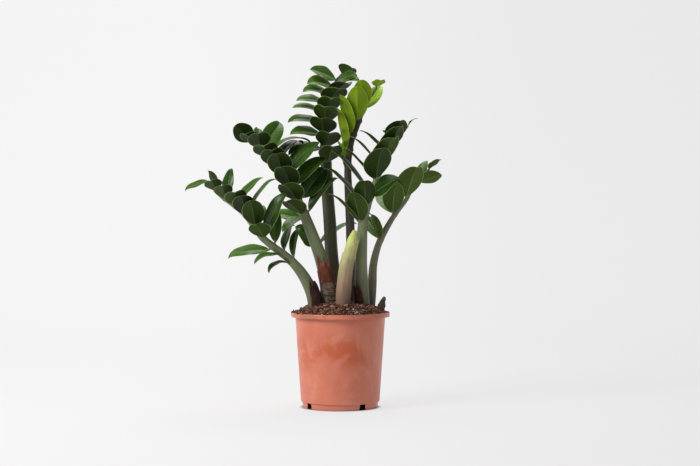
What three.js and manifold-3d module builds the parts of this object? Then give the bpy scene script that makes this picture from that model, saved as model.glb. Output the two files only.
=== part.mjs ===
// Potted zz plant (Zamioculcas zamiifolia) in a plastic nursery pot.
// Millimetres, +Z up, origin at the centre of the pot's underside, front towards -Y.
import * as THREE from "three";
import { mergeVertices } from "three/addons/utils/BufferGeometryUtils.js";
import Module from "manifold-3d";

const wasm = await Module();
wasm.setup();

// ---- driving dimensions -------------------------------------------------------------

const GAP = 0.3; // between pieces that touch

const POT = {
  height: 163,
  rimRadius: 85, // outside of the lip
  lipHeight: 7.5,
  lipInner: 80.6,
  bodyTop: 77.2, // outside of the wall just under the lip
  bodyBottom: 67.7, // outside of the wall just above the foot
  footRadius: 64.5,
  footHeight: 10,
  wall: 2.2,
  floor: 5, // top of the floor
  floorUnder: 2.6, // recess between the foot ring and the middle pad
  ringInner: 60.5,
  padRadius: 34, // flat pad in the middle of the underside
  segments: 48,
};
const DRAINS = { angles: [-54, 36, 126, 216], top: 10.5, bottom: 14, height: 10.4 };

const SOIL_TOP = [[78.9, 160.5], [74, 163.2], [60, 171], [40, 176.5], [20, 179], [0, 179.5]];

// potato-like lobes of the rhizome: centre and half sizes
const RHIZOME = [
  { at: [-38, -4, 104], size: [27, 23, 23] },
  { at: [-8, 16, 101], size: [31, 32, 27] },
  { at: [26, 10, 103], size: [30, 28, 25] },
  { at: [46, 4, 106], size: [23, 24, 20] },
  { at: [4, -22, 104], size: [24, 24, 21] },
];
const STEM_DEPTH = 118; // height at which the stalks end inside the soil

const BLADE = {
  stations: [0, 0.1, 0.26, 0.46, 0.66, 0.86, 1],
  thickness: 2,
  fold: 14, // degrees that each half rises from the midrib
};
const COLLAR = { inner: 0.9, outer: 2.5, half: 1.7, step: 36 };

// Each frond: centreline of its stalk, stalk radius at the soil, at the first leaflets and
// at the tip, and its two rows of leaflets from the lowest pair up. A leaflet's heading
// (0 = +X, 90 = +Y) and rise are those of the line from its base to its tip, turn rolls
// it about that line, droop is the bend along it, all in degrees.
const FRONDS = [
  {
    name: "left_low",
    leaf: "leaf_dark",
    stalk: "stalk_green",
    radius: [12.5, 7.5, 2],
    path: [
      [-41, -15, 164], [-47, -19, 193], [-57, -24, 217], [-69, -29, 236], [-83, -35, 252],
      [-98, -41, 265], [-115, -47, 278], [-132, -51, 293], [-147, -54, 313], [-162, -56, 332],
      [-180, -60, 347], [-198, -63, 360], [-213, -66, 375], [-221, -68, 387],
    ],
    first: 0.308,
    last: 0.9,
    near: {
      length: [50, 60, 76, 54, 66, 66, 64, 60, 54],
      width: [20, 22, 27, 38, 38, 38, 38, 31, 30],
      heading: [-147, -148, -180, -106, -98, -95, -87, -92, -94],
      rise: [-17, -10, -6, 28, 43, 31, 26, 23, 20],
      turn: [8, 14, 40, -12, -12, -12, -12, -12, -14],
      droop: [85, 65, 25, 8, 8, 8, 8, 8, 8],
    },
    far: {
      length: [62, 62, 68, 84, 46, 78, 66, 56, 40],
      width: [20, 22, 24, 36, 22, 24, 22, 20, 22],
      heading: [69, 70, 93, -22, 75, 0, 22, 75, -125],
      rise: [64, 49, 77, 65, 50, 55, 47, 66, 58],
      turn: [25, 25, 10, -62, -20, -20, -20, 0, 10],
      droop: [50, 40, 15, 20, 45, 25, 35, 10, 5],
    },
    tip: { length: 44, width: 18, heading: -180, rise: -20, turn: 35, droop: 15 },
  },
  {
    name: "left_high",
    leaf: "leaf_dark",
    stalk: "stalk_green",
    radius: [13.5, 8.5, 2],
    path: [
      [-16, -4, 163], [-21, -7, 206], [-33, -11, 256], [-48, -15, 297], [-62, -18, 332],
      [-74, -21, 357], [-89, -24, 379], [-104, -27, 400], [-119, -30, 418], [-133, -33, 437],
      [-141, -36, 447], [-149, -38, 455],
    ],
    first: 0.364,
    last: 0.927,
    near: {
      length: [62, 70, 74, 74, 72, 72, 64, 54],
      width: [40, 42, 42, 42, 42, 42, 40, 36],
      heading: [-121, -110, -101, -100, -95, -90, -93, -108],
      rise: [26, 28, 33, 35, 27, 19, 24, 21],
      turn: [-8, -10, -10, -10, -10, -10, -10, -10],
      droop: [10, 10, 10, 8, 8, 8, 8, 8],
    },
    far: {
      length: [86, 76, 80, 86, 80, 94, 72, 42],
      width: [24, 38, 32, 32, 28, 26, 34, 24],
      heading: [28, 37, 25, 22, 44, 25, 52, 87],
      rise: [47, 47, 42, 46, 38, 17, 42, 46],
      turn: [-25, -50, -35, -40, -5, -5, -55, -40],
      droop: [60, 20, 40, 35, 75, 88, 10, 10],
    },
    tip: { length: 46, width: 34, heading: -141, rise: 37, turn: -60, droop: 5 },
  },
  {
    name: "tall",
    leaf: "leaf_mid",
    stalk: "stalk_dark",
    radius: [12.5, 9.5, 2],
    path: [
      [-8, 22, 162], [-9, 23, 208], [-15, 26, 260], [-18, 29, 312], [-22, 32, 365],
      [-23, 34, 394], [-25, 36, 420], [-27, 38, 446], [-27, 40, 469], [-25, 41, 490],
      [-23, 42, 508], [-20, 43, 524], [-16, 44, 539], [-12, 45, 553], [-6, 46, 565],
      [3, 47, 576],
    ],
    first: 0.4,
    last: 0.933,
    near: {
      length: [70, 74, 76, 76, 74, 72, 68, 58, 46],
      width: [42, 44, 48, 44, 42, 46, 40, 32, 26],
      heading: [-77, -81, -95, -91, -85, -76, -64, -44, -45],
      rise: [26, 21, 22, 22, 21, 19, 18, 11, 6],
      turn: [0, 5, 8, 8, 5, 5, 0, -30, -50],
      droop: [10, 10, 10, 10, 10, 10, 10, 25, 20],
    },
    far: {
      length: [72, 72, 66, 70, 68, 66, 60, 58, 54],
      width: [34, 36, 29, 26, 25, 27, 28, 32, 32],
      heading: [126, -142, -144, -147, -140, -141, -138, -135, -146],
      rise: [-11, -8, 4, 2, 5, 4, 6, 5, 16],
      turn: [35, 30, 40, 36, 32, 36, 39, 46, 55],
      droop: [20, 25, 20, 22, 20, 20, 22, 22, 15],
    },
    tip: { length: 38, width: 34, heading: -61, rise: 14, turn: 25, droop: 5 },
  },
  {
    name: "young",
    leaf: "leaf_young",
    stalk: "stalk_purple",
    radius: [9, 6, 1.6],
    path: [
      [15, 22, 162], [18, 24, 234], [17, 24, 312], [14, 22, 373], [13, 20, 408], [15, 18, 434],
      [20, 16, 459], [29, 14, 482], [37, 12, 504], [46, 10, 523], [55, 8, 538], [63, 6, 550],
    ],
    first: 0.391,
    last: 0.773,
    near: {
      length: [48, 78, 76, 70, 58],
      width: [22, 24, 28, 38, 34],
      heading: [-180, -124, -120, -91, -92],
      rise: [76, 72, 64, 58, 56],
      turn: [15, 15, 10, 0, 0],
      droop: [10, 10, 15, 8, 8],
    },
    far: {
      length: [54, 66, 60, 50, 56],
      width: [22, 26, 28, 30, 30],
      heading: [100, 90, 90, 90, 35],
      rise: [66, 68, 66, 60, 50],
      turn: [0, 0, 0, 0, -35],
      droop: [10, 10, 10, 8, 8],
    },
    tip: { length: 28, width: 24, heading: -75, rise: 24, turn: 0, droop: 5 },
  },
  {
    name: "centre_right",
    leaf: "leaf_dark",
    stalk: "stalk_green",
    radius: [12.5, 8, 1.8],
    path: [
      [39, -4, 163], [37, -8, 210], [36, -12, 249], [37, -16, 287], [39, -19, 318],
      [44, -21, 340], [51, -23, 361], [58, -25, 379], [65, -27, 398], [73, -28, 417],
      [81, -30, 434], [91, -31, 450], [103, -32, 467], [115, -33, 481],
    ],
    first: 0.308,
    last: 0.862,
    near: {
      length: [62, 64, 66, 84, 82, 74, 60],
      width: [38, 38, 36, 50, 50, 46, 40],
      heading: [-108, -88, -48, -80, -73, -67, -80],
      rise: [58, 48, 23, 40, 39, 40, 36],
      turn: [0, 0, -75, -12, -16, -14, -10],
      droop: [10, 10, 10, 8, 8, 8, 8],
    },
    far: {
      length: [76, 92, 92, 78, 76, 66, 40],
      width: [26, 28, 28, 28, 28, 26, 20],
      heading: [-147, -180, -180, -152, -153, -141, -124],
      rise: [42, 49, 50, 44, 43, 36, 28],
      turn: [14, 16, 16, 16, 16, 16, 14],
      droop: [10, 8, 8, 8, 8, 10, 10],
    },
    tip: { length: 24, width: 5, heading: -28, rise: 35, turn: 0, droop: 60 },
  },
  {
    name: "right",
    leaf: "leaf_mid",
    stalk: "stalk_brown",
    radius: [9, 5.5, 1.8],
    path: [
      [51, 24, 162], [55, 22, 208], [57, 20, 243], [65, 17, 276], [77, 14, 302], [89, 12, 323],
      [101, 11, 340], [112, 10, 354], [120, 9, 368], [130, 8, 383], [141, 7, 397],
      [153, 6, 409],
    ],
    first: 0.309,
    last: 0.855,
    near: {
      length: [60, 66, 76, 44],
      width: [28, 38, 47, 26],
      heading: [-107, -83, -71, -28],
      rise: [53, 58, 48, 20],
      turn: [35, 0, 0, 50],
      droop: [15, 12, 8, 20],
    },
    far: {
      length: [60, 66, 60, 50],
      width: [26, 36, 30, 26],
      heading: [117, 113, 100, 61],
      rise: [43, 41, 45, 47],
      turn: [20, 20, 30, 10],
      droop: [15, 15, 15, 8],
    },
    tip: { length: 32, width: 20, heading: -47, rise: 35, turn: 0, droop: 5 },
  },
  {
    name: "back_left",
    leaf: "leaf_dark",
    stalk: "stalk_green",
    radius: [8, 5, 1.8],
    path: [
      [-18, 42, 160], [-22, 48, 204], [-31, 54, 247], [-43, 60, 281], [-55, 66, 305],
      [-64, 70, 324], [-72, 74, 342], [-77, 76, 358],
    ],
    first: 0.414,
    last: 0.714,
    near: {
      length: [52, 56],
      width: [38, 28],
      heading: [-143, -173],
      rise: [39, 11],
      turn: [75, 45],
      droop: [10, 20],
    },
    far: {
      length: [80, 60],
      width: [38, 22],
      heading: [25, -132],
      rise: [31, -23],
      turn: [0, 20],
      droop: [15, 60],
    },
    tip: { length: 44, width: 26, heading: 103, rise: 32, turn: 20, droop: 5 },
  },
];

// unopened new frond: a spear inside a sleeve-like sheath with a slanted mouth
const SPEAR = {
  path: [
    [4, -32, 122], [4, -32, 165], [6, -34, 205], [10, -36, 240], [17, -38, 272], [25, -39, 304],
  ],
  radius: [8.5, 9, 9.5, 10, 9.8, 3],
  sleeve: [11.5, 12.3, 13, 12.2, 11.4, 10],
  mouth: { at: [12, -36, 273], tilt: 39 },
};

// stub of a side shoot near the rim
const SPROUT = {
  path: [[60, -8, 134], [65, -7, 158], [71, -6, 175], [76, -6, 190]],
  radius: [6, 7.5, 6.5, 2.2],
};

// dried sheaths at the foot of a stalk: the frond they hug, from and to along its stalk,
// the side they cover (degrees round the stalk from +X) and how much of it
const SHEATHS = [
  { name: "crown_sheath", frond: "left_high", from: 0.04, to: 0.2, side: -80, cover: [120, 95, 22], flare: [1, 1.6, 3.4], color: "sheath_red" },
  { name: "left_sheath", frond: "left_low", from: 0.03, to: 0.13, side: -60, cover: [110, 70, 16], flare: [1, 1.6, 4], color: "sheath_dark" },
  { name: "right_sheath", frond: "centre_right", from: 0.028, to: 0.09, side: -135, cover: [120, 90, 20], flare: [1, 1.6, 3.6], color: "sheath_red" },
];
const SHEATH_THICKNESS = 1.4;

const COLORS = {
  pot_plastic: [0xc9674a, 0.55],
  potting_soil: [0x4a2f24, 1],
  rhizome: [0x8a7354, 0.9],
  leaf_dark: [0x24401c, 0.45],
  leaf_mid: [0x2f5a24, 0.45],
  leaf_young: [0x86a82a, 0.5],
  stalk_green: [0x7f8a62, 0.6],
  stalk_dark: [0x3a3f2e, 0.6],
  stalk_purple: [0x40302e, 0.6],
  stalk_brown: [0x6b6a4e, 0.6],
  shoot_tip: [0xb9c25a, 0.55],
  shoot_sheath: [0xa08a76, 0.7],
  sheath_red: [0x7a3626, 0.85],
  sheath_dark: [0x3c2620, 0.9],
};

// ---- helpers ------------------------------------------------------------------------

const V = (p) => new THREE.Vector3(...p);
const rad = THREE.MathUtils.degToRad;
const { cos, sin, tan, PI, abs, max, sign } = Math;

// three.js geometry to a manifold-3d solid, its faces turned outwards
function toSolid(geometry) {
  const g = geometry.clone();
  g.deleteAttribute("normal");
  g.deleteAttribute("uv");
  const merged = mergeVertices(g, 1e-4);
  const vertProperties = new Float32Array(merged.attributes.position.array);
  const triVerts = new Uint32Array(merged.index.array);
  if (signedVolume(vertProperties, triVerts) < 0)
    for (let i = 0; i < triVerts.length; i += 3)
      [triVerts[i + 1], triVerts[i + 2]] = [triVerts[i + 2], triVerts[i + 1]];
  return new wasm.Manifold(new wasm.Mesh({ numProp: 3, vertProperties, triVerts }));
}

function signedVolume(p, index) {
  const corner = (i) => new THREE.Vector3().fromArray(p, 3 * i);
  let v = 0;
  for (let i = 0; i < index.length; i += 3)
    v += corner(index[i]).dot(corner(index[i + 1]).cross(corner(index[i + 2]))) / 6;
  return v;
}

function toGeometry(solid) {
  const { vertProperties, triVerts, numProp } = solid.getMesh();
  const count = vertProperties.length / numProp;
  const position = new Float32Array(count * 3);
  for (let i = 0; i < count; i++)
    for (let k = 0; k < 3; k++) position[3 * i + k] = vertProperties[numProp * i + k];
  const g = new THREE.BufferGeometry();
  g.setAttribute("position", new THREE.BufferAttribute(position, 3));
  g.setIndex(new THREE.BufferAttribute(new Uint32Array(triVerts), 1));
  return g;
}

// closed skin over a row of rings with the same number of points; a ring of one point is a tip
function skin(rings) {
  const points = [];
  const faces = [];
  const starts = rings.map((ring) => {
    const start = points.length;
    points.push(...ring);
    return start;
  });
  for (let i = 0; i + 1 < rings.length; i++) {
    const a = starts[i];
    const b = starts[i + 1];
    const n = rings[i].length;
    const m = rings[i + 1].length;
    for (let k = 0; k < n; k++) {
      const l = (k + 1) % n;
      if (m === 1) faces.push([a + k, a + l, b]);
      else faces.push([a + k, a + l, b + l], [a + k, b + l, b + k]);
    }
  }
  const cap = (ring, start, flip) => {
    for (let k = 1; k + 1 < ring.length; k++)
      faces.push(flip ? [start, start + k + 1, start + k] : [start, start + k, start + k + 1]);
  };
  cap(rings[0], starts[0], true);
  cap(rings.at(-1), starts.at(-1), false);
  const g = new THREE.BufferGeometry();
  g.setAttribute("position", new THREE.Float32BufferAttribute(points.flatMap((p) => p.toArray()), 3));
  g.setIndex(faces.flat());
  return g;
}

const lathe = (profile, segments) =>
  new THREE.LatheGeometry(profile.map(([r, z]) => new THREE.Vector2(r, z)), segments).rotateX(PI / 2);

function interpolate(list, v) {
  const p = v * (list.length - 1);
  const i = Math.min(Math.floor(p), list.length - 2);
  return list[i] + (list[i + 1] - list[i]) * (p - i);
}

// round body along a curve, its radius given by radiusAt(u)
function taperedTube(curve, radiusAt, from, to, steps, sides) {
  const rings = [];
  for (let i = 0; i <= steps; i++) {
    const u = from + ((to - from) * i) / steps;
    const { at, e1, e2 } = curve(u);
    const r = radiusAt(u);
    rings.push(
      Array.from({ length: sides }, (_, k) => {
        const a = (2 * PI * k) / sides;
        return at.clone().addScaledVector(e1, r * cos(a)).addScaledVector(e2, r * sin(a));
      }),
    );
  }
  return skin(rings);
}

// position and a steady pair of directions across a spline; u below 0 runs straight down
function spineOf(points, depth = 0) {
  const spline = new THREE.CatmullRomCurve3(points.map(V), false, "catmullrom", 0.5);
  return (u) => {
    const t = THREE.MathUtils.clamp(u, 0, 1);
    const at = spline.getPoint(t);
    if (u < 0) at.z += depth * u;
    const along =
      u < 0
        ? new THREE.Vector3(0, 0, 1)
        : spline.getPoint(Math.min(1, t + 1e-3)).sub(spline.getPoint(max(0, t - 1e-3))).normalize();
    const e2 = new THREE.Vector3(0, 0, 1).cross(new THREE.Vector3(1, 0, 0)); // +Y
    const e1 = e2.clone().cross(along).normalize();
    return { at, along, e1, e2: along.clone().cross(e1) };
  };
}

const stalkRadius = (frond, u) => {
  const [base, first, tip] = frond.radius;
  if (u <= 0) return base;
  return u < frond.first
    ? base + ((first - base) * u) / frond.first
    : first + ((tip - first) * (u - frond.first)) / (1 - frond.first);
};

// ---- leaflets -----------------------------------------------------------------------

function directions({ heading, rise, turn, droop }) {
  const [h, r, t, d] = [heading, rise, turn, droop].map(rad);
  const chord = new THREE.Vector3(cos(r) * cos(h), cos(r) * sin(h), sin(r));
  const up = new THREE.Vector3(-sin(r) * cos(h), -sin(r) * sin(h), cos(r));
  const sideways = up.clone().cross(chord);
  const face = up.multiplyScalar(cos(t)).addScaledVector(sideways, sin(t));
  return {
    across: face.clone().cross(chord),
    out: chord.clone().multiplyScalar(cos(d / 2)).addScaledVector(face, sin(d / 2)),
    normal: face.clone().multiplyScalar(cos(d / 2)).addScaledVector(chord, -sin(d / 2)),
    bend: d,
  };
}

const halfWidth = (s) => max(0.07 * (1 - s), sin(PI * s ** 0.88) ** 0.75);

function blade(origin, leaf) {
  const { across, out, normal, bend } = directions(leaf);
  const k = tan(rad(BLADE.fold));
  const rings = BLADE.stations.map((s) => {
    const centre = origin
      .clone()
      .addScaledVector(out, (leaf.length / bend) * sin(bend * s))
      .addScaledVector(normal, (-leaf.length / bend) * (1 - cos(bend * s)));
    if (s === 1) return [centre];
    const n = normal.clone().multiplyScalar(cos(bend * s)).addScaledVector(out, sin(bend * s));
    const h = 0.5 * leaf.width * halfWidth(s);
    const lift = h * k - ((0.45 * h * h) / (0.5 * leaf.width)) * k;
    const half = BLADE.thickness / 2;
    return [
      centre.clone().addScaledVector(across, h).addScaledVector(n, lift),
      centre.clone().addScaledVector(n, half),
      centre.clone().addScaledVector(across, -h).addScaledVector(n, lift),
      centre.clone().addScaledVector(n, -half),
    ];
  });
  return toSolid(skin(rings));
}

// where a leaflet leaves the stalk: the side of the stalk it grows towards
function attachment(spine, u, leaf) {
  const { at, along } = spine(u);
  const { out, normal } = directions(leaf);
  let side = out.clone().addScaledVector(along, -out.dot(along));
  if (side.length() < 0.15) side = normal.clone().addScaledVector(along, -normal.dot(along));
  return { at, along, leaf, side: side.normalize() };
}

// band of stalk tissue that joins the two leaflets of a pair, round the nearer side
function collar(at, along, from, to, radius) {
  const angle = Math.atan2(from.clone().cross(to).dot(along), from.dot(to));
  const reach = angle + sign(angle || 1) * 0.25;
  const steps = max(1, Math.ceil(abs(reach + 0.125) / rad(COLLAR.step)));
  const rings = [];
  for (let i = 0; i <= steps; i++) {
    const a = -sign(angle || 1) * 0.125 + (reach * i) / steps;
    const dir = from.clone().applyAxisAngle(along, a);
    const corner = (r, z) => at.clone().addScaledVector(dir, radius + r).addScaledVector(along, z);
    rings.push([
      corner(COLLAR.inner, -COLLAR.half),
      corner(COLLAR.outer, -COLLAR.half),
      corner(COLLAR.outer, COLLAR.half),
      corner(COLLAR.inner, COLLAR.half),
    ]);
  }
  return toSolid(skin(rings));
}

const leafAt = (row, k) =>
  Object.fromEntries(Object.entries(row).map(([key, list]) => [key, list[k]]));

// ---- the pieces ---------------------------------------------------------------------

const root = new THREE.Group();
root.name = "potted_zz_plant";

const materials = Object.fromEntries(
  Object.entries(COLORS).map(([slot, [color, roughness]]) => [
    slot,
    new THREE.MeshStandardMaterial({ name: slot, color, roughness, metalness: 0 }),
  ]),
);

function add(parent, name, slot, solid) {
  const mesh = new THREE.Mesh(toGeometry(solid), materials[slot]);
  mesh.name = name;
  parent.add(mesh);
}

const rooms = []; // space in the soil for everything that stands in it

// fronds: a stalk that ends in a leaflet, and its pairs of leaflets
const spines = new Map();
for (const frond of FRONDS) {
  const group = new THREE.Group();
  group.name = frond.name;
  root.add(group);

  const spine = spineOf(frond.path, frond.path[0][2] - STEM_DEPTH);
  spines.set(frond.name, spine);
  const radiusAt = (u) => stalkRadius(frond, u);
  const end = spine(1);
  const stalk = toSolid(taperedTube(spine, radiusAt, -1, 1, 20, 8)).add(blade(end.at, frond.tip));
  add(group, frond.name + "_stalk", frond.stalk, stalk);
  rooms.push(toSolid(taperedTube(spine, (u) => radiusAt(u) + GAP, -1.1, 0.2, 13, 8)));

  const pairs = frond.near.length.length;
  for (let k = 0; k < pairs; k++) {
    const u = frond.first + ((frond.last - frond.first) * k) / (pairs - 1);
    const radius = radiusAt(u);
    const [near, far] = ["near", "far"].map((row) => attachment(spine, u, leafAt(frond[row], k)));
    const blades = [near, far].map(({ at, side, leaf }) =>
      blade(at.clone().addScaledVector(side, radius + COLLAR.inner + 1), leaf),
    );
    const band = collar(near.at, near.along, near.side, far.side, radius);
    add(group, `${frond.name}_leaflets_${k + 1}`, frond.leaf, blades[0].add(blades[1]).add(band));
  }
}

// new shoot: the spear, and the sleeve round it cut off at a slant
const spearSpine = spineOf(SPEAR.path);
const tube = (radii, grow, from, to) =>
  toSolid(taperedTube(spearSpine, (u) => interpolate(radii, u) + grow, from, to, 10, 12));
const mouth = toSolid(
  new THREE.BoxGeometry(120, 120, 120)
    .translate(0, 0, 60)
    .rotateY(-rad(SPEAR.mouth.tilt))
    .translate(...SPEAR.mouth.at),
);
const shoot = new THREE.Group();
shoot.name = "shoot";
root.add(shoot);
add(shoot, "new_shoot", "shoot_tip", tube(SPEAR.radius, 0, 0, 1));
add(
  shoot,
  "new_shoot_sheath",
  "shoot_sheath",
  tube(SPEAR.sleeve, 0, 0.15, 0.99).subtract(tube(SPEAR.radius, GAP, 0, 1)).subtract(mouth),
);
rooms.push(tube(SPEAR.sleeve, GAP, 0, 0.6));

const sproutSpine = spineOf(SPROUT.path);
const sprout = (grow) =>
  toSolid(taperedTube(sproutSpine, (u) => interpolate(SPROUT.radius, u) + grow, 0, 1, 6, 8));
add(shoot, "side_sprout", "shoot_sheath", sprout(0));
rooms.push(sprout(GAP));

// dried sheaths: curved scales that hug one side of a stalk and end in a point
const dried = new THREE.Group();
dried.name = "dried_sheaths";
root.add(dried);
for (const { name, frond: owner, from, to, side, cover, flare, color } of SHEATHS) {
  const frond = FRONDS.find((f) => f.name === owner);
  const steps = 4;
  const arc = 6;
  const rings = [];
  for (let i = 0; i <= steps; i++) {
    const v = i / steps;
    const u = from + (to - from) * v;
    const { at, e1, e2 } = spines.get(owner)(u);
    const inner = stalkRadius(frond, u) + interpolate(flare, v);
    const half = rad(interpolate(cover, v) / 2);
    const point = (r, a) =>
      at.clone().addScaledVector(e1, r * cos(rad(side) + a)).addScaledVector(e2, r * sin(rad(side) + a));
    const angles = Array.from({ length: arc + 1 }, (_, k) => -half + (2 * half * k) / arc);
    rings.push([
      ...angles.map((a) => point(inner + SHEATH_THICKNESS, a)),
      ...angles.reverse().map((a) => point(inner, a)),
    ]);
  }
  add(dried, name, color, toSolid(skin(rings)));
}

// pot: one moulded shell with a rolled rim, a foot ring and a drain notch in each quarter
const wallInside = POT.bodyTop - 2.1;
const pot = toSolid(
  lathe(
    [
      [0, 0],
      [POT.padRadius, 0],
      [POT.padRadius + 1.5, POT.floorUnder],
      [POT.ringInner - 1.2, POT.floorUnder],
      [POT.ringInner, 0],
      [POT.footRadius - 0.6, 0],
      [POT.footRadius, 0.6],
      [POT.footRadius + 0.4, POT.footHeight - 0.8],
      [POT.bodyBottom, POT.footHeight + 0.8],
      [POT.bodyTop, POT.height - POT.lipHeight - 0.3],
      [POT.rimRadius - 2.2, POT.height - 2.6],
      [POT.rimRadius - 1.6, POT.height - 3],
      [POT.rimRadius - 1.6, POT.height - POT.lipHeight],
      [POT.rimRadius - 0.3, POT.height - POT.lipHeight],
      [POT.rimRadius, POT.height - 1],
      [POT.rimRadius - 0.6, POT.height],
      [POT.lipInner + 0.8, POT.height],
      [POT.lipInner + 0.3, POT.height - 0.7],
      [wallInside, POT.height - POT.lipHeight + 0.1],
      [POT.bodyBottom - POT.wall, POT.footHeight + 0.8],
      [POT.footRadius - POT.wall, POT.floor],
      [0, POT.floor],
    ],
    POT.segments,
  ),
);
const notches = DRAINS.angles.map((angle) => {
  const outline = new THREE.Shape([
    new THREE.Vector2(-DRAINS.bottom / 2, -1),
    new THREE.Vector2(DRAINS.bottom / 2, -1),
    new THREE.Vector2(DRAINS.top / 2, DRAINS.height),
    new THREE.Vector2(-DRAINS.top / 2, DRAINS.height),
  ]);
  return toSolid(
    new THREE.ExtrudeGeometry(outline, { depth: 14, bevelEnabled: false })
      .rotateX(PI / 2)
      .translate(0, 1 - POT.footRadius + 4, 0)
      .rotateZ(rad(angle)),
  );
});
add(root, "pot", "pot_plastic", notches.reduce((body, notch) => body.subtract(notch), pot));

// rhizome and soil
const lobes = (grow) =>
  RHIZOME.map(({ at, size }) =>
    toSolid(
      new THREE.SphereGeometry(1, 12, 8).scale(...size.map((v) => v + grow)).translate(...at),
    ),
  ).reduce((a, b) => a.add(b));
const standing = rooms.reduce((a, b) => a.add(b));
add(root, "rhizome", "rhizome", lobes(0).subtract(standing));

const fill = toSolid(
  lathe(
    [
      [0, POT.floor + GAP],
      [POT.footRadius - POT.wall - GAP - 0.2, POT.floor + GAP],
      [POT.bodyBottom - POT.wall - GAP, POT.footHeight + 1],
      [wallInside - GAP, POT.height - POT.lipHeight + 0.2],
      ...SOIL_TOP,
    ],
    POT.segments,
  ),
);
add(root, "potting_soil", "potting_soil", fill.subtract(lobes(GAP)).subtract(standing));

export default root;
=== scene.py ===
"""Looks of a potted zz plant, built round its CAD model.

Tables and helpers work in millimetres and degrees; meshes, materials and lights in metres.
"""
import math
import random

import bpy
import numpy as np
from mathutils import Matrix, Vector, noise


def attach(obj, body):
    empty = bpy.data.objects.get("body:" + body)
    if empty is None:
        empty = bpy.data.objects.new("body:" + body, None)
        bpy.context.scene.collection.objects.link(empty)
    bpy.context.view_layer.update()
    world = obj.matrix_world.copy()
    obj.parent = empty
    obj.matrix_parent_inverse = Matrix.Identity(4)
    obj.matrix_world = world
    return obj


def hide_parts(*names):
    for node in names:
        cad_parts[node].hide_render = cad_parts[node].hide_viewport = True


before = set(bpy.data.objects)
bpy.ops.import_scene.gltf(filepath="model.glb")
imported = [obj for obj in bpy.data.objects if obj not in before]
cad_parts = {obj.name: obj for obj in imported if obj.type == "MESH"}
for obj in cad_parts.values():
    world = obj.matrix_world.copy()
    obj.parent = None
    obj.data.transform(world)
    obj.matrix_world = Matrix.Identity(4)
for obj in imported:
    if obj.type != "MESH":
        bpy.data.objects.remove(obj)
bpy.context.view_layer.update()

MM = 0.001
TAU = 2 * math.pi

# ---- dimensions -----------------------------------------------------------------------
# As in the CAD model, but for the blades, which fold and curl more here, the radii of the
# young shoot's spear, and two of the dried sheaths, which cover more of their stalks.

POT = dict(
    height=163, rim=85, lip_height=7.5, lip_inner=80.6, body_top=77.2, body_bottom=67.7,
    foot_radius=64.5, foot_height=10, wall=2.2, floor=5, floor_under=2.6, ring_inner=60.5,
    pad=34,
)
DRAINS = dict(angles=(-54, 36, 126, 216), top=10.5, bottom=14, height=10.4)
SOIL_TOP = [(78.9, 160.5), (74, 163.2), (60, 171), (40, 176.5), (20, 179), (0, 179.5)]

BURIED = 44.0  # length of stalk under the soil
BLADE_OFFSET = 1.9  # from the skin of the stalk to the foot of a blade
BLADE_FOLD = 19  # degrees that each half rises from the midrib, give or take FOLD_SPREAD
FOLD_SPREAD = 5
TIP_CURL = 15, 55  # degrees that the last part of a blade hooks down
STALK_SIDES = 28
CORNER = 0.9  # radius of the pot's rounded corners
SHOOT_FOOT = 0.1  # where on its path, under the soil, the shoot starts
SLEEVE_WALL = 1.5
SCALE_WALL = 0.8

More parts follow.
